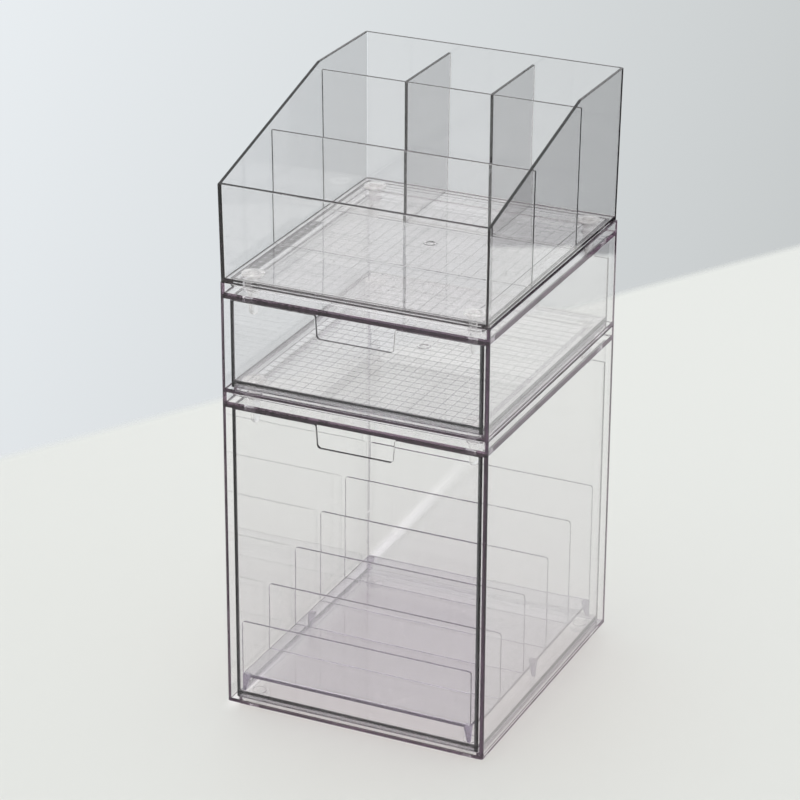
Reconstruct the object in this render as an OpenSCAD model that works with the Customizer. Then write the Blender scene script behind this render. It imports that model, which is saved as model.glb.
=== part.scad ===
// Clear stackable desktop organiser: a tall drawer unit with a stepped rack inside,
// a shallow drawer unit on top of it, and an open compartment tray on top of both.
// Millimetres. +Z is up, the drawers open towards -Y, +X is to the right of the drawers.
// The origin is the middle of the footprint, at the level of the surface it stands on.

/* [Footprint] */
// Width of a drawer unit across its outer side faces
unit_w = 175; // [160:1:220]
// Depth of a drawer unit from its open front to its back
unit_d = 201; // [180:1:260]
// Radius of the upright corners of a casing
corner_r = 1.5; // [0.5:0.1:2.2]

/* [Casings] */
// Height of the tall casing, from the bottom of its walls to the top of its rim
tall_h = 212.3; // [190:0.1:260]
// Height of the shallow casing, from the bottom of its walls to the top of its rim
shallow_h = 70.7; // [62:0.1:120]
// Thickness of the side and back walls
casing_wall = 2.4; // [2.2:0.1:3]
// Thickness of the floor
casing_floor_t = 2.4; // [2:0.1:3.2]
// Thickness of the top panel
panel_t = 3.2; // [2.4:0.1:4]
// Height of the rim above the top panel
rim_h = 6.8; // [5:0.1:10]
// Distance of the locating ring under a unit from its outer faces
ring_inset = 5; // [4:0.1:6]
// Thickness of the locating ring
ring_t = 2; // [1.6:0.1:2.2]
// Height of the locating ring under the floor
ring_drop = 3.4; // [2:0.1:4.4]

/* [Drawers] */
// How far a drawer front stands behind the front of its casing
front_setback = 3; // [1:0.1:5]
// Thickness of a drawer front
drawer_front_t = 2.2; // [1.8:0.1:3]
// Thickness of a drawer's side and back walls
drawer_wall = 2; // [1.6:0.1:2.4]
// Thickness of a drawer floor
drawer_floor_t = 2.6; // [2:0.1:3.2]
// Height of the side runners under a drawer floor
runner_h = 1.6; // [1.4:0.1:2.5]
// Running gap under the runners
slide_gap = 0.2; // [0.1:0.05:0.4]
// Gap between a drawer and each side wall of its casing
drawer_side_gap = 2.4; // [1:0.1:3]
// Gap between a drawer and the back wall of its casing
drawer_back_gap = 2.5; // [1:0.1:5]
// Gap between the top of a drawer and the panel above it
drawer_top_gap = 1.8; // [1:0.1:3]
// Radius of a drawer's upright corners
drawer_corner_r = 1.2; // [0.5:0.1:1.5]

/* [Finger notch] */
// Width of the notch at its lower edge
notch_w = 50; // [30:1:80]
// How much wider the notch is at its mouth, on each side
notch_lean = 1; // [0:0.1:3]
// Depth of the notch below the top of the drawer front
notch_depth = 15; // [10:0.5:20]
// Radius of the notch's lower corners
notch_r = 2.5; // [1:0.1:4]
// Radius where the notch meets the top edge
notch_mouth_r = 1.3; // [0.5:0.1:2.5]

/* [Stacking pins] */
// Distance of the pins from the outer side faces
pin_inset_x = 15; // [15:0.1:25]
// Distance of the pins from the front and the back
pin_inset_y = 15.5; // [15.5:0.1:25]
// Diameter of a pin where it passes the floor
pin_d = 8; // [6:0.1:9]
// Diameter of a pin's rounded tip
pin_tip_d = 5.6; // [4:0.1:6]
// Diameter of the flat head that lies on the floor
pin_head_d = 14.5; // [12:0.1:14.5]
// Thickness of the flat head
pin_head_t = 1; // [0.6:0.1:1.2]
// How far the tips reach below the panel underneath
pin_reach = 13.5; // [6:0.5:16]
// Gap between a pin and the floor hole that holds it
pin_seat_gap = 0.05; // [0.02:0.01:0.1]
// Gap between a pin and the panel hole that it drops through
pin_drop_gap = 0.4; // [0.3:0.1:1]
// Gap between the tips and a drawer's lowered back wall
pin_pass_gap = 1; // [0.5:0.1:3]

/* [Feet] */
// Diameter of a foot
foot_d = 12; // [9:0.1:14]
// Height of the locating ring above the surface the feet stand on
foot_gap = 0.6; // [0.3:0.1:2]
// Chamfer at the lower edge of a foot
foot_chamfer = 0.5; // [0.2:0.1:1]

/* [Rack] */
// Gap between the rack and each side wall of the drawer
rack_side_gap = 2.7; // [1.5:0.1:6]
// How far the rack is pushed to the left in the drawer
rack_shift = 1.3; // [0:0.1:1.4]
// Gap between the rack and the drawer front
rack_front_gap = 0.8; // [0.4:0.1:4]
// Gap between the rack and the drawer's back wall
rack_back_gap = 2.1; // [0.5:0.1:8]
// Thickness of the rack's base plate
rack_plate_t = 2; // [1.5:0.1:3]
// Height of the legs under the base plate
rack_leg_h = 10; // [5:0.5:16]
// Width of a leg at the base plate
rack_leg_top = 4.5; // [3:0.1:7]
// Width of a leg at its foot
rack_leg_foot = 2; // [1.2:0.1:2.8]
// Thickness of a divider
rack_divider_t = 1.8; // [1.2:0.1:2.5]
// Height of the front divider above the base plate
rack_first_h = 36.7; // [25:0.1:50]
// Rise from each divider to the next one behind it
rack_rise = 9.25; // [4:0.05:11]
// Radius of the dividers' upper corners
rack_divider_r = 2; // [0.5:0.1:4]

/* [Tray] */
// How far the foot of the tray stands inside the casing's outer side faces
tray_side_inset = 1; // [0:0.1:1.3]
// Thickness of the tray's walls
tray_wall = 2; // [1.6:0.1:2.6]
// Thickness of the tray's floor
tray_floor_t = 2.6; // [2:0.1:3.2]
// Height of the tray's front wall
tray_front_h = 62.2; // [45:0.1:75]
// Height of the tray's back wall
tray_back_h = 99; // [88:0.1:120]
// Depth of the level stretch of the side walls, measured from the back at the floor
tray_level_d = 68.4; // [60:0.1:80]
// Outward lean of the tray's walls, in degrees
tray_draft = 0.72; // [0:0.01:1.2]
// Clear depth of the front pocket at the floor
tray_front_pocket = 63; // [40:0.5:70]
// Clear depth of the rear cells at the floor
tray_rear_pocket = 63; // [40:0.5:70]
// Thickness of the tray's dividers
tray_divider_t = 2; // [1.5:0.1:2.5]
// Height of the front divider above the tray's floor
tray_front_divider_h = 73; // [50:0.1:74]
// Height of the rear and cell dividers above the tray's floor
tray_rear_divider_h = 90.7; // [60:0.1:92]
// Gap between a divider's ends and the walls beside it
tray_divider_gap = 0.15; // [0.05:0.05:0.3]

/* [Hidden] */

$fn = 64;
// Overrun of a cut past the face that it opens
cut = 1;

// Colours of the plastics
CLEAR_SMOKE = [0.80, 0.78, 0.83, 0.40];
CLEAR_COOL = [0.84, 0.86, 0.89, 0.40];
CLEAR_WARM = [0.84, 0.83, 0.85, 0.40];
MILKY = [0.95, 0.95, 0.95, 0.80];

// Levels of the stacked units: each unit's walls stand on the rim of the one below
foot_h = ring_drop + foot_gap;
tall_z = foot_h;
shallow_z = tall_z + tall_h;
tray_z = shallow_z + shallow_h;

// Inside of a casing
casing_in_w = unit_w - 2 * casing_wall;
casing_in_d = unit_d - 2 * casing_wall;
casing_back_y = unit_d / 2 - casing_wall;

// Drawer outline, the same in both units
drawer_w = casing_in_w - 2 * drawer_side_gap;
drawer_front_y = -unit_d / 2 + front_setback;
drawer_back_y = casing_back_y - drawer_back_gap;
drawer_d = drawer_back_y - drawer_front_y;
drawer_in_w = drawer_w - 2 * drawer_wall;
drawer_in_front_y = drawer_front_y + drawer_front_t;
drawer_in_back_y = drawer_back_y - drawer_wall;
drawer_lift = casing_floor_t + slide_gap;
drawer_floor_top = runner_h + drawer_floor_t;

// Pin places, the same in every unit
pin_x = unit_w / 2 - pin_inset_x;
pin_y = unit_d / 2 - pin_inset_y;
PIN_SIDES = [-1, 1];
// Angle between the points of a pin's rounded tip
TIP_STEP = 15;

// Finger notch
notch_angle = atan(notch_lean / notch_depth);
notch_side = [sin(notch_angle), cos(notch_angle)];
notch_corner_t = notch_r / tan((90 + notch_angle) / 2);
notch_mouth_t = notch_mouth_r / tan((90 + notch_angle) / 2);

// Rack
rack_steps = 6;
rack_w = drawer_in_w - 2 * rack_side_gap;
rack_front_y = drawer_in_front_y + rack_front_gap;
rack_back_y = drawer_in_back_y - rack_back_gap;
rack_d = rack_back_y - rack_front_y;
rack_foot_z = tall_z + drawer_lift + drawer_floor_top;
rack_plate_z = rack_foot_z + rack_leg_h;
rack_top_z = rack_plate_z + rack_plate_t;
rack_pitch = (rack_d - rack_divider_t) / (rack_steps - 1);

// Tray
tray_w = unit_w - 2 * tray_side_inset;
tray_d = unit_d;
tray_in_w = tray_w - 2 * tray_wall;
tray_in_d = tray_d - 2 * tray_wall;
tray_lean = tan(tray_draft);
tray_front_divider_y = -tray_in_d / 2 + tray_front_pocket;
tray_rear_divider_y = tray_in_d / 2 - tray_rear_pocket - tray_divider_t;
tray_cell_x = (tray_in_w + tray_divider_t) / 6;

// Half width of the tray's inside at a height above its foot
function tray_half_w(z) = tray_in_w / 2 + z * tray_lean;

// Y of the inner face of the tray's back wall at a height above its foot
function tray_back_y(z) = tray_in_d / 2 + z * tray_lean;

// Flat rounded rectangle, centred
module rounded_rect(w, d, r) {
    square([w - 2 * r, d], center = true);
    square([w, d - 2 * r], center = true);
    for (x = [-1, 1], y = [-1, 1]) {
        translate([x * (w / 2 - r), y * (d / 2 - r)]) circle(r);
    }
}

// Upright block with rounded corners, from z = 0 to z = h
module rounded_block(w, d, r, h) {
    linear_extrude(h) rounded_rect(w, d, r);
}

// Puts its children at each of the four pin places
module at_pins() {
    for (x = PIN_SIDES, y = PIN_SIDES) {
        translate([x * pin_x, y * pin_y, 0]) children();
    }
}

// Locating ring under a unit of the given footprint, down from z = 0
module locating_ring(w, d) {
    ring_w = w - 2 * ring_inset;
    ring_d = d - 2 * ring_inset;
    translate([0, 0, -ring_drop]) difference() {
        rounded_block(ring_w, ring_d, corner_r, ring_drop);
        translate([0, 0, -cut]) {
            linear_extrude(ring_drop + 2 * cut) square([ring_w - 2 * ring_t, ring_d - 2 * ring_t], center = true);
        }
    }
}

// Open-fronted casing with a recessed top panel, from the bottom of its walls up to z = h
module casing(h) {
    bay_h = h - casing_floor_t - panel_t - rim_h;
    panel_z = casing_floor_t + bay_h;
    locating_ring(unit_w, unit_d);
    difference() {
        rounded_block(unit_w, unit_d, corner_r, h);
        translate([-casing_in_w / 2, -unit_d / 2 - cut, casing_floor_t]) {
            cube([casing_in_w, casing_back_y + unit_d / 2 + cut, bay_h]);
        }
        translate([-casing_in_w / 2, -casing_in_d / 2, panel_z + panel_t]) {
            cube([casing_in_w, casing_in_d, rim_h + cut]);
        }
        at_pins() translate([0, 0, -cut]) cylinder(d = pin_d + 2 * pin_seat_gap, h = casing_floor_t + 2 * cut);
        at_pins() translate([0, 0, panel_z - cut]) cylinder(d = pin_d + 2 * pin_drop_gap, h = panel_t + 2 * cut);
    }
}

// Half of the finger notch's outline, x > 0, with its lower edge at y = 0 and its mouth at y = notch_depth
module notch_half() {
    foot = [notch_w / 2, 0];
    mouth = [notch_w / 2 + notch_lean, notch_depth];
    corner = foot + [-notch_corner_t, notch_r];
    mouth_centre = mouth + [notch_mouth_t, -notch_mouth_r];
    polygon([
        [0, 0],
        foot - [notch_corner_t, 0],
        corner,
        foot + notch_corner_t * notch_side,
        mouth,
        [mouth[0], notch_depth + cut],
        [0, notch_depth + cut],
    ]);
    translate(corner) circle(notch_r);
    difference() {
        polygon([
            mouth - notch_mouth_t * notch_side,
            mouth_centre,
            mouth_centre + [0, notch_mouth_r + cut],
            [mouth[0], notch_depth + cut],
            mouth,
        ]);
        translate(mouth_centre) circle(notch_mouth_r);
    }
}

// Drawer of height h over its runners, which stand on z = 0, in its closed place
module drawer(h) {
    mid_y = (drawer_front_y + drawer_back_y) / 2;
    back_top = h + drawer_top_gap - pin_reach - pin_pass_gap;
    difference() {
        translate([0, mid_y, 0]) rounded_block(drawer_w, drawer_d, drawer_corner_r, h);
        // Inside of the tub
        translate([-drawer_in_w / 2, drawer_in_front_y, drawer_floor_top]) {
            cube([drawer_in_w, drawer_in_back_y - drawer_in_front_y, h]);
        }
        // Room under the floor, between the side runners and behind the front
        translate([-drawer_in_w / 2, drawer_in_front_y, -cut]) {
            cube([drawer_in_w, drawer_d, runner_h + cut]);
        }
        // The back wall is lower, so that it passes under the pins of the unit above
        translate([-drawer_in_w / 2, drawer_in_back_y - cut, back_top]) {
            cube([drawer_in_w, drawer_wall + 2 * cut, h]);
        }
        // Finger notch
        translate([0, drawer_in_front_y + cut, h - notch_depth]) rotate([90, 0, 0]) {
            linear_extrude(drawer_front_t + 2 * cut) {
                notch_half();
                mirror([1, 0]) notch_half();
            }
        }
    }
}

// Pin with a flat head on the floor's upper face at z = 0 and a tapered shank below it, round at its tip
module stacking_pin(floor_t) {
    shank = floor_t + rim_h + panel_t + pin_reach;
    tip_r = pin_tip_d / 2;
    rotate_extrude() polygon(concat(
        [
            [0, pin_head_t],
            [pin_head_d / 2 - pin_head_t / 2, pin_head_t],
            [pin_head_d / 2, pin_head_t / 2],
            [pin_head_d / 2, 0],
            [pin_d / 2, 0],
            [pin_d / 2, -floor_t],
        ],
        [for (a = [0:TIP_STEP:90]) [tip_r * cos(a), tip_r - shank - tip_r * sin(a)]]
    ));
}

// Plug foot: a stub in the casing floor and a round pad below it, standing on z = 0
module foot() {
    rotate_extrude() polygon([
        [0, 0],
        [foot_d / 2 - foot_chamfer, 0],
        [foot_d / 2, foot_chamfer],
        [foot_d / 2, foot_h],
        [pin_d / 2, foot_h],
        [pin_d / 2, foot_h + casing_floor_t],
        [0, foot_h + casing_floor_t],
    ]);
}

// Leg that narrows downwards on its two inner sides, with its outer corner on the Z axis
module rack_leg() {
    profile = [[0, 0], [rack_leg_foot, 0], [rack_leg_top, rack_leg_h], [0, rack_leg_h]];
    intersection() {
        translate([0, rack_leg_top, 0]) rotate([90, 0, 0]) linear_extrude(rack_leg_top) polygon(profile);
        rotate([90, 0, 90]) linear_extrude(rack_leg_top) polygon(profile);
    }
}

// Upright plate across the rack with rounded upper corners
module rack_plate(h) {
    rotate([90, 0, 0]) translate([0, 0, -rack_divider_t]) linear_extrude(rack_divider_t) {
        translate([-rack_w / 2, 0]) square([rack_w, h - rack_divider_r]);
        translate([-rack_w / 2 + rack_divider_r, 0]) square([rack_w - 2 * rack_divider_r, h]);
        for (x = [-1, 1]) {
            translate([x * (rack_w / 2 - rack_divider_r), h - rack_divider_r]) circle(rack_divider_r);
        }
    }
}

// Slab with the tray's leaning side faces, from its foot up to z = h; half is its half width at the foot
module tray_span(half, h) {
    translate([0, tray_d, 0]) rotate([90, 0, 0]) linear_extrude(2 * tray_d) {
        polygon([[-half, 0], [half, 0], [half + h * tray_lean, h], [-half - h * tray_lean, h]]);
    }
}

// Outline of the tray seen from its side, extruded across it
module tray_side_profile() {
    half = tray_d / 2;
    kink_y = half - tray_level_d;
    rotate([90, 0, 90]) translate([0, 0, -tray_w]) linear_extrude(2 * tray_w) polygon([
        [-half, 0],
        [half, 0],
        [half + tray_back_h * tray_lean, tray_back_h],
        [kink_y, tray_back_h],
        [-half - tray_front_h * tray_lean, tray_front_h],
    ]);
}

// Inside of the tray above its floor, with leaning front and back faces
module tray_inside() {
    half = tray_in_d / 2;
    top = tray_back_h + cut;
    intersection() {
        tray_span(tray_in_w / 2, top);
        rotate([90, 0, 90]) translate([0, 0, -tray_w]) linear_extrude(2 * tray_w) polygon([
            [-half - tray_floor_t * tray_lean, tray_floor_t],
            [half + tray_floor_t * tray_lean, tray_floor_t],
            [half + top * tray_lean, top],
            [-half - top * tray_lean, top],
        ]);
    }
}

// Divider across the tray, h high above the floor, with its front face at y
module tray_cross_divider(y, h) {
    low = tray_half_w(tray_floor_t) - tray_divider_gap;
    high = tray_half_w(tray_floor_t + h) - tray_divider_gap;
    translate([0, y, tray_z + tray_floor_t]) rotate([90, 0, 0]) translate([0, 0, -tray_divider_t]) {
        linear_extrude(tray_divider_t) polygon([[-low, 0], [low, 0], [high, h], [-high, h]]);
    }
}

// Divider from the rear divider to the back wall, centred on x
module tray_cell_divider(x) {
    front = tray_rear_divider_y + tray_divider_t + tray_divider_gap;
    top = tray_floor_t + tray_rear_divider_h;
    translate([x - tray_divider_t / 2, 0, tray_z]) rotate([90, 0, 90]) linear_extrude(tray_divider_t) polygon([
        [front, tray_floor_t],
        [tray_back_y(tray_floor_t) - tray_divider_gap, tray_floor_t],
        [tray_back_y(top) - tray_divider_gap, top],
        [front, top],
    ]);
}

module tall_casing() {
    color(CLEAR_SMOKE) translate([0, 0, tall_z]) casing(tall_h);
}

module tall_drawer() {
    h = tall_h - rim_h - panel_t - drawer_top_gap - drawer_lift;
    color(CLEAR_WARM) translate([0, 0, tall_z + drawer_lift]) drawer(h);
}

module shallow_casing() {
    color(CLEAR_SMOKE) translate([0, 0, shallow_z]) casing(shallow_h);
}

module shallow_drawer() {
    h = shallow_h - rim_h - panel_t - drawer_top_gap - drawer_lift;
    color(CLEAR_WARM) translate([0, 0, shallow_z + drawer_lift]) drawer(h);
}

module rack_base() {
    color(CLEAR_SMOKE) translate([-rack_shift, 0, 0]) {
        translate([-rack_w / 2, rack_front_y, rack_plate_z]) cube([rack_w, rack_d, rack_plate_t]);
        for (side = [0, 1]) mirror([side, 0, 0]) {
            translate([-rack_w / 2, rack_front_y, rack_foot_z]) rack_leg();
            translate([-rack_w / 2, (rack_front_y + rack_back_y) / 2, rack_foot_z]) rack_leg();
            translate([-rack_w / 2, rack_back_y, rack_foot_z]) mirror([0, 1, 0]) rack_leg();
        }
    }
}

// Divider of the rack, counted from 1 at the front
module rack_divider(number) {
    y = rack_front_y + (number - 1) * rack_pitch;
    color(CLEAR_WARM) translate([-rack_shift, y, rack_top_z]) rack_plate(rack_first_h + (number - 1) * rack_rise);
}

module casing_foot(x, y) {
    color(MILKY) translate([x * pin_x, y * pin_y, 0]) foot();
}

module shallow_pin(x, y) {
    color(MILKY) translate([x * pin_x, y * pin_y, shallow_z + casing_floor_t]) stacking_pin(casing_floor_t);
}

module tray_pin(x, y) {
    color(MILKY) translate([x * pin_x, y * pin_y, tray_z + tray_floor_t]) stacking_pin(tray_floor_t);
}

module tray_body() {
    color(CLEAR_COOL) translate([0, 0, tray_z]) {
        locating_ring(unit_w, unit_d);
        difference() {
            intersection() {
                tray_span(tray_w / 2, tray_back_h + cut);
                tray_side_profile();
            }
            tray_inside();
            at_pins() translate([0, 0, -cut]) cylinder(d = pin_d + 2 * pin_seat_gap, h = tray_floor_t + 2 * cut);
        }
    }
}

module tray_front_divider() {
    color(CLEAR_COOL) tray_cross_divider(tray_front_divider_y, tray_front_divider_h);
}

module tray_rear_divider() {
    color(CLEAR_COOL) tray_cross_divider(tray_rear_divider_y, tray_rear_divider_h);
}

module tray_cell_divider_left() {
    color(CLEAR_COOL) tray_cell_divider(-tray_cell_x);
}

module tray_cell_divider_right() {
    color(CLEAR_COOL) tray_cell_divider(tray_cell_x);
}

tall_casing();
tall_drawer();
rack_base();
rack_divider(1);  // rack_divider_1
rack_divider(2);  // rack_divider_2
rack_divider(3);  // rack_divider_3
rack_divider(4);  // rack_divider_4
rack_divider(5);  // rack_divider_5
rack_divider(6);  // rack_divider_6
casing_foot(-1, -1);  // foot_front_left
casing_foot(1, -1);  // foot_front_right
casing_foot(-1, 1);  // foot_back_left
casing_foot(1, 1);  // foot_back_right
shallow_casing();
shallow_drawer();
shallow_pin(-1, -1);  // shallow_pin_front_left
shallow_pin(1, -1);  // shallow_pin_front_right
shallow_pin(-1, 1);  // shallow_pin_back_left
shallow_pin(1, 1);  // shallow_pin_back_right
tray_body();
tray_front_divider();
tray_rear_divider();
tray_cell_divider_left();
tray_cell_divider_right();
tray_pin(-1, -1);  // tray_pin_front_left
tray_pin(1, -1);  // tray_pin_front_right
tray_pin(-1, 1);  // tray_pin_back_left
tray_pin(1, 1);  // tray_pin_back_right
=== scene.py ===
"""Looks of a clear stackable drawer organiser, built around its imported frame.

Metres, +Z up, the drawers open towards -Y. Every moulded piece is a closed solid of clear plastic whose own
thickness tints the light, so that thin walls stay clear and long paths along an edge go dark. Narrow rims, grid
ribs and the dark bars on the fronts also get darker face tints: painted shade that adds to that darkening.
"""

import logging
import math
from dataclasses import dataclass, replace
from enum import Enum

import bmesh
import bpy
from mathutils import Matrix, Vector


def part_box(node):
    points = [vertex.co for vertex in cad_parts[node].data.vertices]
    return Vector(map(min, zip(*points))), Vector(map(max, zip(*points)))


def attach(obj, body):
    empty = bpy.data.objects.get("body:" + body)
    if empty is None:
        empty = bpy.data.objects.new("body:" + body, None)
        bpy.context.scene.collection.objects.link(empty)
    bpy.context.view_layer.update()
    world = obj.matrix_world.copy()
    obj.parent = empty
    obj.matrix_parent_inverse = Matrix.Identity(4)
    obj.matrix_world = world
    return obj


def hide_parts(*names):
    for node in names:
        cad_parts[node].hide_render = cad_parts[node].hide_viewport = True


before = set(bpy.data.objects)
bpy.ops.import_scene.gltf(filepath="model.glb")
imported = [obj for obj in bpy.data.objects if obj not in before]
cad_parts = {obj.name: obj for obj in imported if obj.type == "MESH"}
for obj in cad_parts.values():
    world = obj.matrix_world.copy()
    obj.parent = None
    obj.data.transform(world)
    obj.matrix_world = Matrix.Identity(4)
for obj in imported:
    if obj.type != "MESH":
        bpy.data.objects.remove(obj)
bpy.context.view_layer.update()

log = logging.getLogger("organiser")

MM = 0.001
CORNERS = ("front_left", "front_right", "back_left", "back_right")
PART_LAYER = "part"
LEVEL = 0.99  # how far up or down the normal of a level face points, at least

Colour = tuple[float, float, float]
Outline = list[tuple[float, float]]
Socket = bpy.types.NodeSocket


class Part(Enum):
    """What a face of a moulding belongs to, as its material's painted shade tells them apart."""

    WALL = 0
    RIM = 1
    CROSS_RIM = 2
    GRID = 3
    BAR = 4


class NodeTree:
    """A node tree while it is being put together."""

    def __init__(self, tree: bpy.types.NodeTree, output: str) -> None:
        """Empties a node tree and gives it its output.

        Args:
            tree: the tree of a material or of the world.
            output: the output node's type name.
        """
        self.tree = tree
        self.tree.nodes.clear()
        self.output = self.add(output)

    def add(self, kind: str, **values: object) -> bpy.types.Node:
        """Adds a node and sets its properties.

        Args:
            kind: the node's type name.
            values: properties of the node by name.

        Returns:
            The new node.
        """
        node = self.tree.nodes.new(kind)
        for name, value in values.items():
            setattr(node, name, value)
        return node

    def link(self, source: Socket, target: Socket) -> None:
        """Joins an output to an input."""
        self.tree.links.new(source, target)

    def calculate(self, operation: str, first: Socket, second: Socket | float) -> Socket:
        """Works one value out of two.

        Args:
            operation: the sum's name.
            first: the first value.
            second: the second value, or a number that is the same everywhere.

        Returns:
            The result.
        """
        node = self.add("ShaderNodeMath", operation=operation)
        self.link(first, node.inputs[0])
        if isinstance(second, float):
            node.inputs[1].default_value = second
        else:
            self.link(second, node.inputs[1])
        return node.outputs[0]

    def along(self, place: Socket, direction: Vector) -> Socket:
        """Measures a place along a direction.

        Args:
            place: the place.
            direction: the direction.

        Returns:
            How far along it the place is.
        """
        node = self.add("ShaderNodeVectorMath", operation="DOT_PRODUCT")
        node.inputs[1].default_value = direction
        self.link(place, node.inputs[0])
        return node.outputs["Value"]

    def spread(
        self, source: Socket, start: float, end: float, low: float = 0.0, high: float = 1.0, smooth: bool = False
    ) -> Socket:
        """Maps a range of values onto another, which holds past its ends.

        Args:
            source: the values.
            start: the value that becomes low.
            end: the value that becomes high.
            low: the result at start.
            high: the result at end.
            smooth: whether the slope eases at both ends.

        Returns:
            The mapped values.
        """
        node = self.add("ShaderNodeMapRange", interpolation_type="SMOOTHSTEP" if smooth else "LINEAR")
        for name, value in zip(("From Min", "From Max", "To Min", "To Max"), (start, end, low, high)):
            node.inputs[name].default_value = value
        self.link(source, node.inputs["Value"])
        return node.outputs["Result"]

    def ramp(self, source: Socket, stops: list[tuple[float, Colour]], kind: str = "LINEAR") -> Socket:
        """Turns values into colours.

        Args:
            source: the values, from 0 to 1.
            stops: places along the ramp and their colours.
            kind: how one colour goes over into the next.

        Returns:
            The colours.
        """
        node = self.add("ShaderNodeValToRGB")
        node.color_ramp.interpolation = kind
        elements = node.color_ramp.elements
        while len(elements) < len(stops):
            elements.new(0.5)
        for element, (at, colour) in zip(elements, stops):
            element.position = at
            element.color = (*colour, 1)
        self.link(source, node.inputs["Fac"])
        return node.outputs["Color"]


class Shader(NodeTree):
    """A material while it is being put together."""

    def __init__(self, name: str) -> None:
        """Starts an empty material.

        Args:
            name: the material's name.
        """
        self.material = bpy.data.materials.new(name)
        self.material.use_nodes = True
        super().__init__(self.material.node_tree, "ShaderNodeOutputMaterial")

    def place(self) -> Socket:
        """Where a surface point is on its object."""
        return self.add("ShaderNodeTexCoord").outputs["Object"]

    def noise(self, place: Socket, scale: float) -> bpy.types.Node:
        """Adds a cloudy pattern.

        Args:
            place: where the surface point is.
            scale: how many clouds there are to a metre.

        Returns:
            The pattern's node.
        """
        node = self.add("ShaderNodeTexNoise")
        node.inputs["Scale"].default_value = scale
        self.link(place, node.inputs["Vector"])
        return node

    def blend(self, share: Socket, first: bpy.types.Node, second: bpy.types.Node) -> None:
        """Makes two surfaces the material's, one going over into the other.

        Args:
            share: how much of the second there is.
            first: the first surface's node.
            second: the second surface's node.
        """
        mix = self.add("ShaderNodeMixShader")
        self.link(share, mix.inputs[0])
        self.link(first.outputs["BSDF"], mix.inputs[1])
        self.link(second.outputs["BSDF"], mix.inputs[2])
        self.link(mix.outputs["Shader"], self.output.inputs["Surface"])

    def let_lamps_through(self, surface: bpy.types.Node, tint: Colour) -> None:
        """Makes a clear surface the material's, with plain tinted shadows.

        Args:
            surface: the shader node of the surface.
            tint: what is left of a lamp's light behind one face.
        """
        clear = self.add("ShaderNodeBsdfTransparent")
        clear.inputs["Color"].default_value = (*tint, 1)
        ray = self.add("ShaderNodeLightPath").outputs
        self.blend(self.calculate("MAXIMUM", ray["Is Shadow Ray"], ray["Is Diffuse Ray"]), surface, clear)


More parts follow.
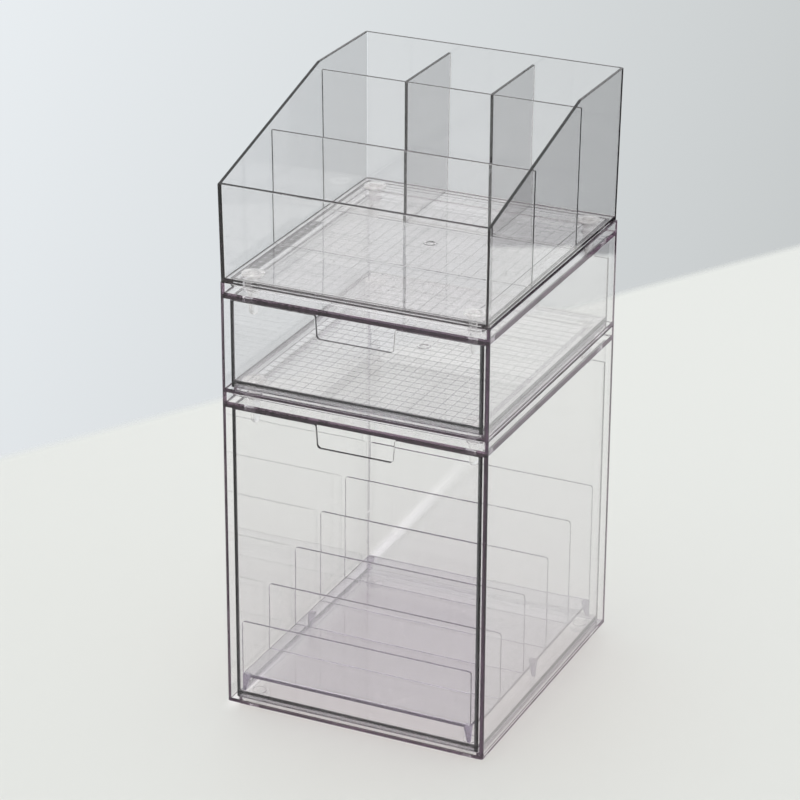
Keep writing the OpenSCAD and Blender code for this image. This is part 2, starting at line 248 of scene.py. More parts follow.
@dataclass(frozen=True)
class ClearPlastic:
    """Polished clear plastic, tinted by its own thickness, a little wavy, with a few hairline scuffs and some
    painted shade.
    """

    name: str
    slot: str
    passed: Colour
    density: float
    ior: float = 1.55
    shadow_tint: Colour = (0.9977, 0.9922, 0.9872)
    ripple_size: float = 16 * MM
    ripple_height: float = 0.02 * MM
    ripple_detail: float = 1.0
    scuff_size: float = 22 * MM
    scuff_width: float = 0.006
    scuff_roughness: float = 0.3
    scuff_bends: float = 2.0
    scuff_straightness: float = 3.0
    scuff_patches: float = 0.6
    scuff_patch_edge: tuple[float, float] = (0.56, 0.64)
    # These tints are painted shade: they darken a part's faces where the real plastic looks dark from long light
    # paths along it.
    wall_painted_shade: Colour = (1.0, 1.0, 1.0)
    rim_painted_shade: Colour = (1.0, 1.0, 1.0)
    cross_rim_painted_shade: Colour = (1.0, 1.0, 1.0)
    grid_painted_shade: Colour = (1.0, 1.0, 1.0)
    bar_painted_shade: Colour = (1.0, 1.0, 1.0)

    def painted_face_shade(self, shader: Shader) -> Socket:
        """Chooses a face's painted shade by the part that it belongs to, darker on rims, grid ribs and front bars.

        Args:
            shader: the material.

        Returns:
            The painted shade, as a tint for the base colour.
        """
        shades = {
            Part.WALL: self.wall_painted_shade,
            Part.RIM: self.rim_painted_shade,
            Part.CROSS_RIM: self.cross_rim_painted_shade,
            Part.GRID: self.grid_painted_shade,
            Part.BAR: self.bar_painted_shade,
        }
        stops = [(max(0.0, (part.value - 0.5) / len(Part)), colour) for part, colour in shades.items()]
        label = shader.add("ShaderNodeAttribute", attribute_name=PART_LAYER)
        share = shader.calculate("DIVIDE", label.outputs["Fac"], float(len(Part)))
        return shader.ramp(share, stops, "CONSTANT")

    def ripple(self, shader: Shader, place: Socket) -> Socket:
        """Adds the slight waviness of a moulded face.

        Args:
            shader: the material.
            place: where the surface point is.

        Returns:
            The bent normal.
        """
        wave = shader.noise(place, 1 / self.ripple_size)
        wave.inputs["Detail"].default_value = self.ripple_detail
        bump = shader.add("ShaderNodeBump")
        bump.inputs["Distance"].default_value = self.ripple_height
        shader.link(wave.outputs["Fac"], bump.inputs["Height"])
        return bump.outputs["Normal"]

    def scuffs(self, shader: Shader, place: Socket) -> Socket:
        """Adds sparse hairline scuffs.

        Args:
            shader: the material.
            place: where the surface point is.

        Returns:
            The roughness.
        """
        warp = shader.noise(place, self.scuff_bends / self.scuff_size)
        bent = shader.add("ShaderNodeMixRGB", blend_type="LINEAR_LIGHT")
        bent.inputs["Fac"].default_value = self.scuff_size / self.scuff_straightness
        shader.link(place, bent.inputs["Color1"])
        shader.link(warp.outputs["Color"], bent.inputs["Color2"])
        cracks = shader.add("ShaderNodeTexVoronoi", feature="DISTANCE_TO_EDGE")
        cracks.inputs["Scale"].default_value = 1 / self.scuff_size
        shader.link(bent.outputs["Color"], cracks.inputs["Vector"])
        line = shader.spread(cracks.outputs["Distance"], self.scuff_width, 0.0)
        patch = shader.noise(place, self.scuff_patches / self.scuff_size)
        sparse = shader.spread(patch.outputs["Fac"], *self.scuff_patch_edge, high=self.scuff_roughness)
        return shader.calculate("MULTIPLY", line, sparse)

    def material(self) -> bpy.types.Material:
        """Builds the material.

        Returns:
            Glass with absorption inside it, which lets lamps through.
        """
        shader = Shader(self.name)
        place = shader.place()
        glass = shader.add("ShaderNodeBsdfPrincipled")
        # The base colour carries the painted shade of rims, grid ribs and front bars.
        shader.link(self.painted_face_shade(shader), glass.inputs["Base Color"])
        glass.inputs["Transmission Weight"].default_value = 1.0
        glass.inputs["IOR"].default_value = self.ior
        shader.link(self.scuffs(shader, place), glass.inputs["Roughness"])
        shader.link(self.ripple(shader, place), glass.inputs["Normal"])
        shader.let_lamps_through(glass, self.shadow_tint)
        tint = shader.add("ShaderNodeVolumeAbsorption")
        tint.inputs["Color"].default_value = (*self.passed, 1)
        tint.inputs["Density"].default_value = self.density
        shader.link(tint.outputs["Volume"], shader.output.inputs["Volume"])
        return shader.material


@dataclass(frozen=True)
class MilkyPlastic:
    """Soft translucent plastic of the pins and feet; on the pins its whiteness also stands in for white glints, a
    painted highlight.
    """

    name: str
    colour: Colour = (0.97, 0.97, 0.97)
    clearness: float = 0.78
    roughness: float = 0.12
    ior: float = 1.48
    shadow_tint: Colour = (0.9, 0.9, 0.9)
    clouds: float = 900.0
    cloud_range: tuple[float, float] = (0.6, 1.4)

    def material(self) -> bpy.types.Material:
        """Builds the material.

        Returns:
            A cloudy see-through material.
        """
        shader = Shader(self.name)
        body = shader.add("ShaderNodeBsdfPrincipled")
        body.inputs["Base Color"].default_value = (*self.colour, 1)
        body.inputs["Transmission Weight"].default_value = self.clearness
        body.inputs["IOR"].default_value = self.ior
        cloud = shader.noise(shader.place(), self.clouds)
        least, most = (self.roughness * share for share in self.cloud_range)
        shader.link(shader.spread(cloud.outputs["Fac"], 0.0, 1.0, least, most), body.inputs["Roughness"])
        shader.let_lamps_through(body, self.shadow_tint)
        return shader.material


# The rim, cross-rim, grid-rib and front-bar tints below are painted shade: they darken faces where the plastic
# looks dark from long light paths and from being looked through along walls.
CASING_CLEAR = ClearPlastic(
    "casing_clear",
    slot="casing_clear",
    passed=(0.62, 0.53, 0.60),
    density=20,
    rim_painted_shade=(0.34, 0.29, 0.35),
    cross_rim_painted_shade=(0.13, 0.105, 0.13),
    bar_painted_shade=(0.06, 0.045, 0.055),
)
DRAWER_CLEAR = ClearPlastic(
    "drawer_clear",
    slot="drawer_clear",
    passed=(0.56, 0.54, 0.55),
    density=18,
    rim_painted_shade=(0.24, 0.23, 0.25),
    cross_rim_painted_shade=(0.24, 0.23, 0.25),
    grid_painted_shade=(0.55, 0.55, 0.56),
    bar_painted_shade=(0.03, 0.03, 0.033),
)
RACK_CLEAR = ClearPlastic(
    "rack_clear",
    slot="rack_clear",
    passed=(0.58, 0.50, 0.60),
    density=15,
    shadow_tint=(0.968, 0.957, 0.974),
    rim_painted_shade=(0.38, 0.33, 0.43),
    cross_rim_painted_shade=(0.38, 0.33, 0.43),
)
# The rack's base gets a darker, purple-grey tint on every face: painted shade that stands in for the shade falling
# under and through the rack.
RACK_FLOOR_PAINTED_SHADE = replace(RACK_CLEAR, name="rack_floor_painted_shade", wall_painted_shade=(0.785, 0.765, 0.80))
TRAY_CLEAR = ClearPlastic(
    "tray_clear",
    slot="tray_clear",
    passed=(0.61, 0.57, 0.59),
    density=44,
    rim_painted_shade=(0.07, 0.068, 0.075),
    cross_rim_painted_shade=(0.38, 0.38, 0.39),
    grid_painted_shade=(0.68, 0.685, 0.69),
)
# The pins' milky white is partly soft plastic and partly painted highlight, standing in for white glints in their
# clear tips and heads.
PIN_MILKY_AND_GLINT = MilkyPlastic("pin_milky")
FOOT_MILKY = MilkyPlastic("foot_milky", roughness=0.35)


def cut_faces(
    mesh: bmesh.types.BMesh, faces: list[bmesh.types.BMFace], at: Vector, normal: Vector, touch: float
) -> None:
    """Parts some of a piece's faces along a plane.

    Args:
        mesh: the piece.
        faces: the faces to part.
        at: a point of the plane.
        normal: the plane's normal.
        touch: how near to the plane a corner counts as on it.
    """
    chosen = set(faces)
    edges = [e for e in mesh.edges if chosen.intersection(e.link_faces)]
    verts = [v for v in mesh.verts if chosen.intersection(v.link_faces)]
    bmesh.ops.bisect_plane(mesh, geom=[*faces, *edges, *verts], dist=touch, plane_co=at, plane_no=normal)


@dataclass(frozen=True)
class MouldEdge:
    """How sharp the moulded edges are, and which edges count as edges."""

    radius: float = 0.3 * MM
    segments: int = 2
    least_angle: float = math.radians(30)
    flat_angle: float = math.radians(0.5)
    same_point: float = 0.002 * MM
    rim_w: float = 3.3 * MM
    corner_segments: int = 5
    corner_h: float = 20 * MM
    corner_reach: float = 6 * MM
    upright: float = 0.95

    def clean(self, mesh: bmesh.types.BMesh) -> None:
        """Merges loose triangles into whole faces.

        Args:
            mesh: the piece.
        """
        bmesh.ops.remove_doubles(mesh, verts=mesh.verts, dist=self.same_point)
        bmesh.ops.dissolve_limit(mesh, angle_limit=self.flat_angle, verts=mesh.verts, edges=mesh.edges)
        for face in mesh.faces:
            face.smooth = False

    def mark_rims(self, mesh: bmesh.types.BMesh) -> None:
        """Notes which faces are the narrow ends of the walls, and which of these run across the piece, so that the
        material paints shade on them.

        Args:
            mesh: the piece.
        """
        for face in mesh.faces:
            if 2 * face.calc_area() < self.rim_w * face.calc_perimeter():
                longest = max(face.edges, key=lambda e: e.calc_length())
                run = longest.verts[1].co - longest.verts[0].co
                across = abs(run.x) > max(abs(run.y), abs(run.z))
                face.material_index = (Part.CROSS_RIM if across else Part.RIM).value

    def label_parts(self, mesh: bmesh.types.BMesh) -> None:
        """Moves the notes into a face layer for the one material to read.

        Args:
            mesh: the piece.
        """
        layer = mesh.faces.layers.float.new(PART_LAYER)
        for face in mesh.faces:
            face[layer] = face.material_index
            face.material_index = 0

    def bevel(
        self, mesh: bmesh.types.BMesh, edges: list[bmesh.types.BMEdge], radius: float, segments: int
    ) -> None:
        """Rounds some of the piece's edges.

        Args:
            mesh: the piece.
            edges: the edges to round.
            radius: how round they become.
            segments: how many strips the rounding has.
        """
        bmesh.ops.bevel(
            mesh,
            geom=edges,
            offset=radius,
            offset_type="OFFSET",
            affect="EDGES",
            segments=segments,
            profile=0.5,
            material=-1,
            clamp_overlap=False,
        )

    def round_corners(self, mesh: bmesh.types.BMesh, radius: float) -> None:
        """Rounds the piece's outer upright corners at the back.

        Args:
            mesh: the piece.
            radius: how round they become.
        """
        near_x = max(v.co.x for v in mesh.verts) - self.corner_reach
        near_y = max(v.co.y for v in mesh.verts) - self.corner_reach
        corners = [
            e
            for e in mesh.edges
            if e.calc_length() > self.corner_h
            and abs((e.verts[0].co - e.verts[1].co).normalized().z) > self.upright
            and all(abs(v.co.x) > near_x and v.co.y > near_y for v in e.verts)
            and e.is_convex
        ]
        self.bevel(mesh, corners, radius, self.corner_segments)

    def round_over(self, mesh: bmesh.types.BMesh) -> None:
        """Rounds every sharp edge."""
        sharp = [e for e in mesh.edges if e.is_manifold and e.calc_face_angle() > self.least_angle]
        self.bevel(mesh, sharp, self.radius, self.segments)


@dataclass(frozen=True)
class FloorGrid:
    """Square grid of low ribs moulded under a floor."""

    level: float
    middle_y: float
    columns: int = 22
    rows: int = 27
    pitch: float = 7.05 * MM
    rib_w: float = 0.6 * MM
    rib_h: float = 0.28 * MM
    rib_flank: float = 0.1 * MM
    touch: float = 0.01 * MM
    slant: float = 0.0002 * MM
    keep_clear: tuple[Vector, ...] = ()
    clear_r: float = 7.0 * MM
    hole_r: float = 5.2 * MM

    def lines(self, count: int, middle: float) -> list[float]:
        """The middle of each rib of a row that is centred on a place."""
        return [middle + (i - (count - 1) / 2) * self.pitch for i in range(count)]

    def floor_faces(self, mesh: bmesh.types.BMesh) -> list[bmesh.types.BMFace]:
        """Faces of the floor that the grid stands on.

        Args:
            mesh: the piece.

        Returns:
            The faces that look down at the floor's level.
        """
        return [
            f
            for f in mesh.faces
            if f.normal.z < -LEVEL and abs(f.calc_center_median().z - self.level) < self.touch
        ]

    def join_slants(self, mesh: bmesh.types.BMesh) -> None:
        """Joins the floor's faces over edges that run aslant, away from the holes, so that no rib has a sliver.

        Args:
            mesh: the piece.
        """
        floor = set(self.floor_faces(mesh))
        slants = []
        for edge in mesh.edges:
            run = edge.verts[1].co - edge.verts[0].co
            aslant = min(abs(run.x), abs(run.y)) > self.slant
            free = all((v.co - c).xy.length > self.hole_r for v in edge.verts for c in self.keep_clear)
            if aslant and free and floor.issuperset(edge.link_faces):
                slants.append(edge)
        bmesh.ops.dissolve_edges(mesh, edges=slants, use_verts=True, use_face_split=False)

    def on_rib(self, point: Vector, across: list[float], along: list[float]) -> bool:
        """Whether a point of the floor lies on a rib.

        Args:
            point: the point.
            across: the middles of the ribs that stand side by side.
            along: the middles of the ribs that stand one behind the other.

        Returns:
            True on a rib, away from the holes.
        """
        half = self.rib_w / 2
        inside_x = across[0] - half < point.x < across[-1] + half
        inside_y = along[0] - half < point.y < along[-1] + half
        near = any(abs(point.x - p) < half for p in across) or any(abs(point.y - p) < half for p in along)
        free = all((point - c).xy.length > self.clear_r for c in self.keep_clear)
        return inside_x and inside_y and near and free

    def emboss(self, mesh: bmesh.types.BMesh) -> None:
        """Raises the ribs out of the floor's faces.

        Args:
            mesh: the piece.
        """
        across = self.lines(self.columns, 0.0)
        along = self.lines(self.rows, self.middle_y)
        half = self.rib_w / 2
        for places, normal in ((across, Vector((1, 0, 0))), (along, Vector((0, 1, 0)))):
            for cut in [p + side * half for p in places for side in (-1, 1)]:
                cut_faces(mesh, self.floor_faces(mesh), normal * cut, normal, self.touch)
        self.join_slants(mesh)
        ribs = [f for f in self.floor_faces(mesh) if self.on_rib(f.calc_center_median(), across, along)]
        flanks = bmesh.ops.inset_region(
            mesh, faces=ribs, thickness=self.rib_flank, depth=self.rib_h, use_even_offset=True, use_boundary=True
        )
        # The ribs and their flanks are labelled for the grid's painted shade.
        for face in [*ribs, *flanks["faces"]]:
            face.material_index = Part.GRID.value


@dataclass(frozen=True)
class GateMark:
    """Round dimple in a floor where the plastic was let into the mould."""

    centre: Vector
    radius: float = 4.5 * MM
    ring_w: float = 0.7 * MM
    ring_h: float = 0.25 * MM
    dimple: float = 0.45 * MM
    sides: int = 24
    touch: float = 0.01 * MM

    def holds(self, face: bmesh.types.BMFace) -> bool:
        """Whether a face looks up at the mark's level, with the mark's middle in its box.

        Args:
            face: the face.

        Returns:
            True where the mark may stand on the face.
        """
        xs = [v.co.x for v in face.verts]
        ys = [v.co.y for v in face.verts]
        level = face.normal.z > LEVEL and abs(face.calc_center_median().z - self.centre.z) < self.touch
        return level and min(xs) < self.centre.x < max(xs) and min(ys) < self.centre.y < max(ys)

    def face_at_centre(self, mesh: bmesh.types.BMesh) -> bmesh.types.BMFace:
        """The level face that the mark stands on."""
        faces = [f for f in mesh.faces if self.holds(f)]
        return min(faces, key=lambda f: (f.calc_center_median() - self.centre).length)

    def stamp(self, mesh: bmesh.types.BMesh) -> None:
        """Cuts a round out of the floor's face, raises its ring and sinks its middle.

        Args:
            mesh: the piece.
        """
        square = (0, self.sides // 4, self.sides // 2, 3 * self.sides // 4)
        order = [*square, *(i for i in range(self.sides) if i not in square)]
        for index in order:
            turn = math.tau * index / self.sides
            outward = Vector((math.cos(turn), math.sin(turn), 0))
            rim = self.centre + outward * self.radius
            cut_faces(mesh, [self.face_at_centre(mesh)], rim, outward, self.touch)
        round_face = self.face_at_centre(mesh)
        for thickness, depth in ((self.ring_w, self.ring_h), (self.ring_w, 0.0), (2 * self.ring_w, -self.dimple)):
            bmesh.ops.inset_region(mesh, faces=[round_face], thickness=thickness, depth=depth, use_even_offset=True)


@dataclass(frozen=True)
class FrontBars:
    """Where a front is looked through along the walls behind it, which show as dark bars, painted as a dark tint on
    the front's faces.
    """

    front_y: float
    bands: tuple[tuple[float, float], ...]
    side_x: float = math.inf
    notched: bool = False
    depth: float = 1.0 * MM
    edge_slant: float = 0.3
    touch: float = 0.01 * MM

    def front_faces(self, mesh: bmesh.types.BMesh) -> list[bmesh.types.BMFace]:
        """Faces of the front's outer side, its rounded edges too.

        Args:
            mesh: the piece.

        Returns:
            The faces that look forwards at the very front.
        """
        return [
            f
            for f in mesh.faces
            if f.normal.y < -self.edge_slant and f.calc_center_median().y < self.front_y + self.depth
        ]

    def mark(self, mesh: bmesh.types.BMesh) -> None:
        """Parts the outer side along the walls behind it, and notes the faces before them for the painted shade of
        the bars.

        Args:
            mesh: the piece.
        """
        cuts = [(Vector((0, 0, 1)), z) for band in self.bands for z in band]
        if self.side_x < math.inf:
            cuts += [(Vector((1, 0, 0)), x) for x in (-self.side_x, self.side_x)]
        for normal, at in cuts:
            cut_faces(mesh, self.front_faces(mesh), normal * at, normal, self.touch)
        for face in self.front_faces(mesh):
            middle = face.calc_center_median()
            beside = abs(middle.x) > self.side_x
            before = any(low < middle.z < high for low, high in self.bands)
            far_edge = self.notched and face.normal.x < -self.edge_slant
            if beside or before or far_edge:
                face.material_index = Part.BAR.value


def new_piece(name: str, mesh: bmesh.types.BMesh, finish: bpy.types.Material) -> bpy.types.Object:
    """Turns a finished bmesh into an object at the origin.

    Args:
        name: the piece's name.
        mesh: the bmesh, which is freed.
        finish: the piece's material.

    Returns:
        The new object, linked to the scene.
    """
    data = bpy.data.meshes.new(name)
    mesh.to_mesh(data)
    mesh.free()
    data.materials.append(finish)
    piece = bpy.data.objects.new(name, data)
    bpy.context.scene.collection.objects.link(piece)
    return piece


def box_middle(node: str) -> Vector:
    """Middle of a frame node's box."""
    low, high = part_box(node)
    return (low + high) / 2


def stand_for(piece: bpy.types.Object, node: str, body: str) -> None:
    """Puts a piece in the place of a frame node.

    Args:
        piece: the piece.
        node: the node that it replaces.
        body: the body that it rides on.
    """
    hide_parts(node)
    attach(piece, body)
    log.info("%s: %d faces, rides on %s", piece.name, len(piece.data.polygons), body)


@dataclass
class MouldedPiece:
    """A clear moulding: the frame's own shape with rounded edges."""

    node: str
    body: str
    finish: ClearPlastic
    edge: MouldEdge = MouldEdge()
    corner_r: float = 0.0
    grid: FloorGrid | None = None
    gate: GateMark | None = None
    bars: FrontBars | None = None
    seat: float | None = None
    seat_gap: float = 0.05 * MM

    def lift_off_seat(self, mesh: bmesh.types.BMesh) -> None:
        """Leaves a film of air between this piece and what it stands on.

        Args:
            mesh: the piece.
        """
        if self.seat is None:
            return
        for vert in mesh.verts:
            if abs(vert.co.z - self.seat) < self.edge.same_point:
                vert.co.z += self.seat_gap

    def build(self, materials: dict[str, bpy.types.Material]) -> bpy.types.Object:
        """Makes the piece.

        Args:
            materials: the finished materials by name.

        Returns:
            The piece, riding on its body.
        """
        mesh = bmesh.new()
        mesh.from_mesh(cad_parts[self.node].data)
        self.edge.clean(mesh)
        self.lift_off_seat(mesh)
        self.edge.mark_rims(mesh)
        if self.corner_r:
            self.edge.round_corners(mesh, self.corner_r)
        self.edge.round_over(mesh)
        if self.gate is not None:
            self.gate.stamp(mesh)
        if self.grid is not None:
            self.grid.emboss(mesh)
        if self.bars is not None:
            self.bars.mark(mesh)
        self.edge.label_parts(mesh)
        piece = new_piece(f"{self.node}_moulding", mesh, materials[self.finish.name])
        stand_for(piece, self.node, self.body)
        return piece


@dataclass
class TurnedPiece:
    """A milky piece turned about its own upright axis, from the frame's box."""

    node: str
    body: str
    finish: MilkyPlastic
    seat_gap: float = 0.05 * MM
    steps: int = 40
    same_point: float = 0.002 * MM
    smooth_angle: float = math.radians(35)

    def outline(self, low: Vector, high: Vector) -> Outline:
        """Radius and height of the points from the axis and back to it, for a box from low to high."""
        raise NotImplementedError

    def build(self, materials: dict[str, bpy.types.Material]) -> bpy.types.Object:
        """Spins the outline into a closed, smooth piece.

        Args:
            materials: the finished materials by name.

        Returns:
            The piece, riding on its body.
        """
        low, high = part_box(self.node)
        centre = Vector(((low.x + high.x) / 2, (low.y + high.y) / 2, 0))
        mesh = bmesh.new()
        points = [mesh.verts.new(centre + Vector((r, 0, z))) for r, z in self.outline(low, high)]
        edges = [mesh.edges.new(pair) for pair in zip(points, points[1:])]
        bmesh.ops.spin(
            mesh,
            geom=[*points, *edges],
            cent=centre,
            axis=(0, 0, 1),
            angle=math.tau,
            steps=self.steps,
            use_merge=True,
        )
        bmesh.ops.remove_doubles(mesh, verts=mesh.verts, dist=self.same_point)
        bmesh.ops.recalc_face_normals(mesh, faces=mesh.faces)
        piece = new_piece(f"{self.node}_turned", mesh, materials[self.finish.name])
        piece.data.set_sharp_from_angle(angle=self.smooth_angle)
        stand_for(piece, self.node, self.body)
        return piece


@dataclass
class StackingPin(TurnedPiece):
    """A pin with a flat head, a straight shank through the floor, and a tapered, round tip."""

    head_t: float = 1.0 * MM
    head_edge: float = 0.15
    shank_d: float = 8.0 * MM
    floor_t: float = 2.4 * MM
    tip_d: float = 5.6 * MM
    tip_steps: int = 6

    def outline(self, low: Vector, high: Vector) -> Outline:
        """Outline of the pin from its head to its tip.

        Args:
            low: the lowest corner of the pin's box.
            high: the highest corner of the pin's box.

        Returns:
            Points as radius and height.
        """
        head_r = (high.x - low.x) / 2
        head_z = high.z - self.head_t
        edge = self.head_t * self.head_edge
        tip_r = self.tip_d / 2
        tip = [
            (tip_r * math.cos(a), low.z + tip_r - tip_r * math.sin(a))
            for a in (math.pi / 2 * i / self.tip_steps for i in range(self.tip_steps))
        ]
        return [
            (0.0, high.z),
            (head_r - self.head_t / 2, high.z),
            (head_r - edge, high.z - edge),
            (head_r, high.z - self.head_t / 2),
            (head_r, head_z + self.seat_gap),
            (self.shank_d / 2, head_z + self.seat_gap),
            (self.shank_d / 2, head_z - self.floor_t),
            *tip,
            (0.0, low.z),
        ]


@dataclass
class PlugFoot(TurnedPiece):
    """A soft foot: a pad with a rounded lower edge, and a stub above it."""

    pad_h: float = 4.0 * MM
    stub_d: float = 8.0 * MM
    chamfer: float = 0.5 * MM
    chamfer_edge: float = 0.3

    def outline(self, low: Vector, high: Vector) -> Outline:
        """Outline of the foot from its pad to its stub.

        Args:
            low: the lowest corner of the foot's box.
            high: the highest corner of the foot's box.

        Returns:
            Points as radius and height.
        """
        pad_r = (high.x - low.x) / 2
        edge = self.chamfer * self.chamfer_edge
        return [
            (0.0, low.z),
            (pad_r - self.chamfer, low.z),
            (pad_r - edge, low.z + edge),
            (pad_r, low.z + self.chamfer),
            (pad_r, self.pad_h - self.seat_gap),
            (self.stub_d / 2, self.pad_h - self.seat_gap),
            (self.stub_d / 2, high.z),
            (0.0, high.z),
        ]


@dataclass
class DrawerUnit:
    """One casing with its drawer."""

    size: str
    seat: float | None
    ribbed: bool
    side_t: float = 2.3 * MM
    floor_under: float = 1.6 * MM
    floor_t: float = 2.6 * MM
    bar_above: float = 0.4 * MM
    bar_below: float = 0.9 * MM
    rim_h: float = 6.8 * MM
    panel_t: float = 3.2 * MM
    panel_bar: float = 2.6 * MM
    ring_drop: float = 3.4 * MM
    casing_floor_t: float = 2.4 * MM
    foot_bar: float = 0.0
    gate_y: float = 2.0 * MM

    def casing_bars(self) -> FrontBars:
        """Finds where the casing's front gets the painted shade of dark bars.

        Returns:
            The bars before its top panel and before the upper side of its floor.
        """
        low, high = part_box(f"{self.size}_casing")
        panel = high.z - self.rim_h - self.panel_t
        bands = [(panel, panel + self.panel_bar)]
        if self.foot_bar:
            floor = low.z + self.ring_drop + self.casing_floor_t
            bands.append((floor - self.foot_bar, floor))
        return FrontBars(front_y=low.y, bands=tuple(bands))

    def pieces(self) -> list[MouldedPiece]:
        """Sets out the unit's mouldings.

        Returns:
            The casing and the drawer.
        """
        casing = MouldedPiece(f"{self.size}_casing", f"{self.size}_unit", CASING_CLEAR, seat=self.seat)
        casing.bars = self.casing_bars()
        name = f"{self.size}_drawer"
        drawer = MouldedPiece(name, name, DRAWER_CLEAR)
        low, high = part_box(name)
        under = low.z + self.floor_under
        floor = under + self.floor_t
        band = (floor - self.bar_below, floor + self.bar_above)
        drawer.bars = FrontBars(front_y=low.y, bands=(band,), side_x=high.x - self.side_t, notched=True)
        if self.ribbed:
            drawer.grid = FloorGrid(level=under, middle_y=(low.y + high.y) / 2)
            drawer.gate = GateMark(Vector((0, self.gate_y, floor)))
        return [casing, drawer]


@dataclass
class SteppedRack:
    """The loose rack in the tall drawer."""

    steps: int = 6

    def pieces(self) -> list[MouldedPiece]:
        """Sets out the rack's mouldings.

        Returns:
            The base, and then the dividers from front to back.
        """
        plates = [f"rack_divider_{i + 1}" for i in range(self.steps)]
        finishes = {"rack_base": RACK_FLOOR_PAINTED_SHADE, **{name: RACK_CLEAR for name in plates}}
        return [
            MouldedPiece(name, "tall_drawer", finish, seat=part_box(name)[0].z) for name, finish in finishes.items()
        ]


@dataclass
class CompartmentTray:
    """The open tray on top and its dividers."""

    dividers: tuple[str, ...] = ("front_divider", "rear_divider", "cell_divider_left", "cell_divider_right")
    floor_t: float = 2.6 * MM
    corner_r: float = 1.5 * MM
    rib_h: float = 0.04 * MM
    gate_x: float = 1.5 * MM
    gate_y: float = 8.0 * MM

    def pieces(self) -> list[MouldedPiece]:
        """Sets out the tray's mouldings.

        Returns:
            The body, and then the dividers.
        """
        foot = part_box("shallow_casing")[1].z
        grid = FloorGrid(
            level=foot + MouldedPiece.seat_gap,
            middle_y=0.0,
            rib_h=self.rib_h,
            keep_clear=tuple(box_middle(f"tray_pin_{corner}") for corner in CORNERS),
        )
        gate = GateMark(Vector((self.gate_x, self.gate_y, foot + self.floor_t)))
        body = MouldedPiece(
            "tray_body", "tray_unit", TRAY_CLEAR, corner_r=self.corner_r, seat=foot, grid=grid, gate=gate
        )
        plates = [
            MouldedPiece(f"tray_{name}", "tray_unit", TRAY_CLEAR, seat=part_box(f"tray_{name}")[0].z)
            for name in self.dividers
        ]
        return [body, *plates]


@dataclass(frozen=True)
class ShotCamera:
    """The camera, as it stood for the photograph."""

    azimuth: float = math.radians(24.90)
    elevation: float = math.radians(23.75)
    roll: float = math.radians(0.25)
    distance: float = 2.0062
    lens: float = 144.62
    sensor_w: float = 36.0
    near: float = 0.05
    far: float = 50.0
    aim: Vector = Vector((-0.01558, 0.0, 0.18417))

    def place(self) -> None:
        """Makes the camera and gives it to the scene."""
        flat = math.cos(self.elevation)
        back = Vector(
            (math.sin(self.azimuth) * flat, -math.cos(self.azimuth) * flat, math.sin(self.elevation))
        )
        camera = bpy.data.objects.new("camera", bpy.data.cameras.new("camera"))
        camera.data.lens = self.lens
        camera.data.sensor_width = self.sensor_w
        camera.data.clip_start = self.near
        camera.data.clip_end = self.far
        turn = (-back).to_track_quat("-Z", "Y").to_matrix().to_4x4()
        camera.matrix_world = (
            Matrix.Translation(self.aim + back * self.distance) @ turn @ Matrix.Rotation(self.roll, 4, "Z")
        )
        bpy.context.scene.collection.objects.link(camera)
        bpy.context.scene.camera = camera


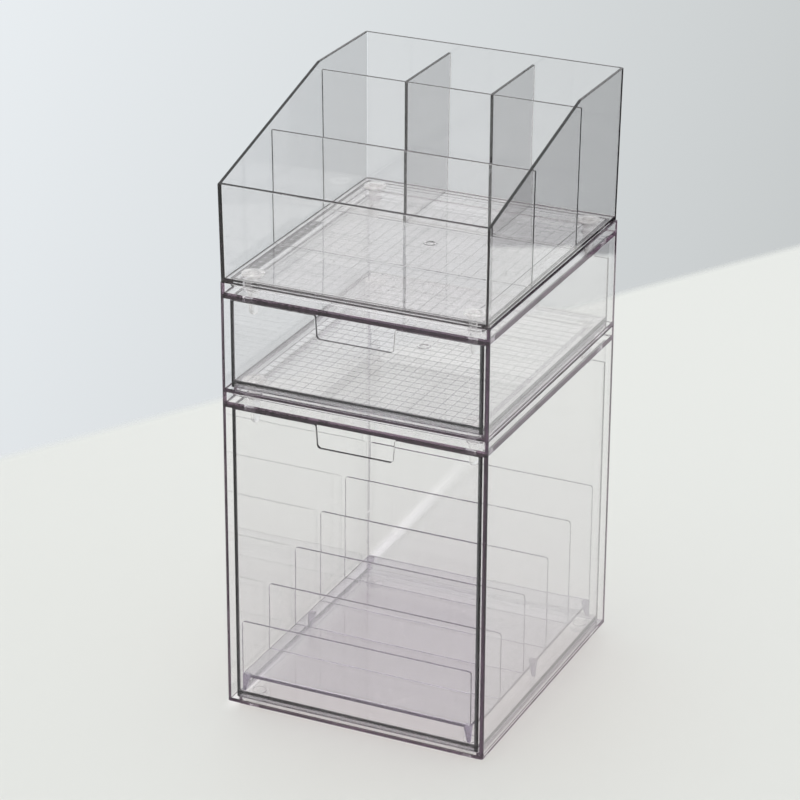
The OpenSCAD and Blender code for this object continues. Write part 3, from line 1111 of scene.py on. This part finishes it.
@dataclass(frozen=True)
class Studio:
    """The pale table, the soft surroundings and the lamp."""

    table_colour: Colour = (0.705, 0.716, 0.69)
    table_roughness: float = 0.55
    table_specular: float = 0.3
    table_half: float = 6.0
    back_normal: tuple[float, float] = (-0.8632, 0.5048)
    back_edge: float = 0.435
    end_edge: float = 0.805
    edge_soft: float = 0.008
    glint_line: tuple[float, float] = (1.0, 0.04)
    glint_at: float = -0.0893
    glint_half: float = 0.0078
    glint_start: tuple[float, float] = (-0.11, -0.07)
    glint_end: tuple[float, float] = (0.38, 0.06)
    glint_colour: Colour = (1.0, 1.0, 1.0)
    glint_glow: float = 0.16
    across: tuple[float, float] = (0.907, 0.421)
    wall_colours: tuple[tuple[float, Colour], ...] = (
        (-1.0, (0.75, 0.77, 0.79)),
        (-0.30, (0.89, 0.93, 0.955)),
        (-0.12, (0.785, 0.82, 0.845)),
        (0.12, (0.58, 0.605, 0.61)),
        (0.35, (0.30, 0.31, 0.32)),
        (0.55, (0.05, 0.05, 0.055)),
        (0.85, (0.03, 0.03, 0.035)),
        (1.0, (0.3, 0.3, 0.31)),
    )
    wall_heights: tuple[float, float] = (-0.55, -0.15)
    wall_levels: tuple[float, float] = (0.89, 1.11)
    ceiling_colour: Colour = (0.99, 1.0, 1.0)
    ceiling_levels: tuple[float, float] = (1.15, 0.85)
    ceiling_heights: tuple[float, float] = (-0.1, 0.3)
    window_watts: float = 8.0
    window_size: float = 1.6
    window_at: Vector = Vector((-0.35, 0.75, 1.9))
    window_aim: Vector = Vector((0, 0, 0.15))

    def table_edges(self) -> list[tuple[Vector, float]]:
        """The direction off the table over its back edge and its right one, and each edge's distance."""
        back = Vector((*self.back_normal, 0))
        return [(back, self.back_edge), (Vector((back.y, -back.x, 0)), self.end_edge)]

    def table_fade(self, shader: Shader, place: Socket) -> Socket:
        """Fades the table out along its edges.

        Args:
            shader: the table's material.
            place: where the surface point is.

        Returns:
            0 on the table and 1 past an edge.
        """
        fades = [
            shader.spread(shader.along(place, normal), edge - self.edge_soft, edge + self.edge_soft, smooth=True)
            for normal, edge in self.table_edges()
        ]
        return shader.calculate("MAXIMUM", *fades)

    def glint(self, shader: Shader, place: Socket) -> Socket:
        """Draws the streak of light that the left wall throws along its foot and behind the object.

        Args:
            shader: the table's material.
            place: where the surface point is.

        Returns:
            How much of the streak there is.
        """
        across = shader.along(place, Vector((*self.glint_line, 0)))
        away = shader.calculate("ABSOLUTE", shader.calculate("SUBTRACT", across, self.glint_at), 0.0)
        band = shader.spread(away, self.glint_half, 0.0, smooth=True)
        depth = shader.along(place, Vector((0, 1, 0)))
        end = shader.spread(depth, *self.glint_end, smooth=True)
        start = shader.spread(depth, *self.glint_start, smooth=True)
        return shader.calculate("MULTIPLY", band, shader.calculate("MULTIPLY", end, start))

    def table_finish(self) -> bpy.types.Material:
        """Builds the table's matte white, with the streak of light on it.

        Returns:
            The material, which ends softly at the table's edges.
        """
        shader = Shader("table")
        place = shader.place()
        streak = self.glint(shader, place)
        tone = shader.add("ShaderNodeMixRGB")
        tone.inputs["Color1"].default_value = (*self.table_colour, 1)
        tone.inputs["Color2"].default_value = (*self.glint_colour, 1)
        shader.link(streak, tone.inputs["Fac"])
        matte = shader.add("ShaderNodeBsdfPrincipled")
        matte.inputs["Roughness"].default_value = self.table_roughness
        matte.inputs["Specular IOR Level"].default_value = self.table_specular
        matte.inputs["Emission Color"].default_value = (*self.glint_colour, 1)
        shader.link(tone.outputs["Color"], matte.inputs["Base Color"])
        shader.link(shader.calculate("MULTIPLY", streak, self.glint_glow), matte.inputs["Emission Strength"])
        shader.blend(self.table_fade(shader, place), matte, shader.add("ShaderNodeBsdfTransparent"))
        return shader.material

    def table(self) -> None:
        """Makes the table top, which ends behind the object and to its right."""
        mesh = bmesh.new()
        bmesh.ops.create_grid(mesh, x_segments=1, y_segments=1, size=self.table_half)
        for normal, edge in self.table_edges():
            bmesh.ops.bisect_plane(
                mesh,
                geom=[*mesh.verts, *mesh.edges, *mesh.faces],
                plane_co=normal * (edge + self.edge_soft),
                plane_no=normal,
                clear_outer=True,
            )
        new_piece("table", mesh, self.table_finish())

    def surroundings(self) -> None:
        """Makes the world: a pale wall that darkens to the right below, and a bright ceiling above."""
        world = bpy.data.worlds.new("room")
        bpy.context.scene.world = world
        world.use_nodes = True
        room = NodeTree(world.node_tree, "ShaderNodeOutputWorld")
        way = room.add("ShaderNodeTexCoord").outputs["Generated"]
        side = room.along(way, Vector((*self.across, 0)))
        height = room.along(way, Vector((0, 0, 1)))
        stops = [((at + 1) / 2, colour) for at, colour in self.wall_colours]
        wall = room.add("ShaderNodeVectorMath", operation="SCALE")
        room.link(room.ramp(room.spread(side, -1.0, 1.0), stops), wall.inputs[0])
        room.link(room.spread(height, *self.wall_heights, *self.wall_levels), wall.inputs["Scale"])
        ceiling = room.add("ShaderNodeVectorMath", operation="SCALE")
        ceiling.inputs[0].default_value = self.ceiling_colour
        room.link(room.spread(side, -1.0, 1.0, *self.ceiling_levels), ceiling.inputs["Scale"])
        both = room.add("ShaderNodeMixRGB")
        room.link(room.spread(height, *self.ceiling_heights, smooth=True), both.inputs["Fac"])
        room.link(wall.outputs["Vector"], both.inputs["Color1"])
        room.link(ceiling.outputs["Vector"], both.inputs["Color2"])
        glow = room.add("ShaderNodeBackground")
        room.link(both.outputs["Color"], glow.inputs["Color"])
        room.link(glow.outputs["Background"], room.output.inputs["Surface"])

    def lamps(self) -> None:
        """Hangs one broad soft lamp over the object, towards the left behind it."""
        lamp = bpy.data.lights.new("window", "AREA")
        lamp.shape = "RECTANGLE"
        lamp.size = self.window_size
        lamp.size_y = self.window_size
        lamp.energy = self.window_watts
        window = bpy.data.objects.new("window", lamp)
        window.location = self.window_at
        window.rotation_euler = (self.window_aim - self.window_at).to_track_quat("-Z", "Y").to_euler()
        window.visible_glossy = False
        bpy.context.scene.collection.objects.link(window)

    def build(self) -> None:
        """Makes everything that isn't part of the object."""
        self.table()
        self.surroundings()
        self.lamps()


def set_up_render() -> None:
    """Sets the view transform and gives light enough bounces for many clear walls."""
    scene = bpy.context.scene
    scene.view_settings.view_transform = "Standard"
    scene.cycles.max_bounces = 120
    scene.cycles.transmission_bounces = 96
    scene.cycles.glossy_bounces = 96
    scene.cycles.diffuse_bounces = 3
    scene.cycles.transparent_max_bounces = 128
    scene.cycles.use_denoising = True
    scene.cycles.sample_clamp_indirect = 8.0


def main() -> None:
    """Builds the scene in order and reports each piece."""
    logging.basicConfig(level=logging.INFO, format="%(name)s: %(message)s")
    set_up_render()
    ShotCamera().place()
    Studio().build()
    finishes = (CASING_CLEAR, DRAWER_CLEAR, RACK_CLEAR, RACK_FLOOR_PAINTED_SHADE, TRAY_CLEAR, PIN_MILKY_AND_GLINT, FOOT_MILKY)
    materials = {finish.name: finish.material() for finish in finishes}
    units = (
        DrawerUnit("tall", seat=None, ribbed=False, foot_bar=0.9 * MM),
        DrawerUnit("shallow", seat=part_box("tall_casing")[1].z, ribbed=True),
        SteppedRack(),
        CompartmentTray(),
    )
    for unit in units:
        for piece in unit.pieces():
            piece.build(materials)
    for corner in CORNERS:
        StackingPin(f"shallow_pin_{corner}", "shallow_unit", PIN_MILKY_AND_GLINT).build(materials)
        StackingPin(f"tray_pin_{corner}", "tray_unit", PIN_MILKY_AND_GLINT, floor_t=CompartmentTray.floor_t).build(materials)
        PlugFoot(f"foot_{corner}", "tall_unit", FOOT_MILKY).build(materials)


if __name__ == "__main__":
    main()
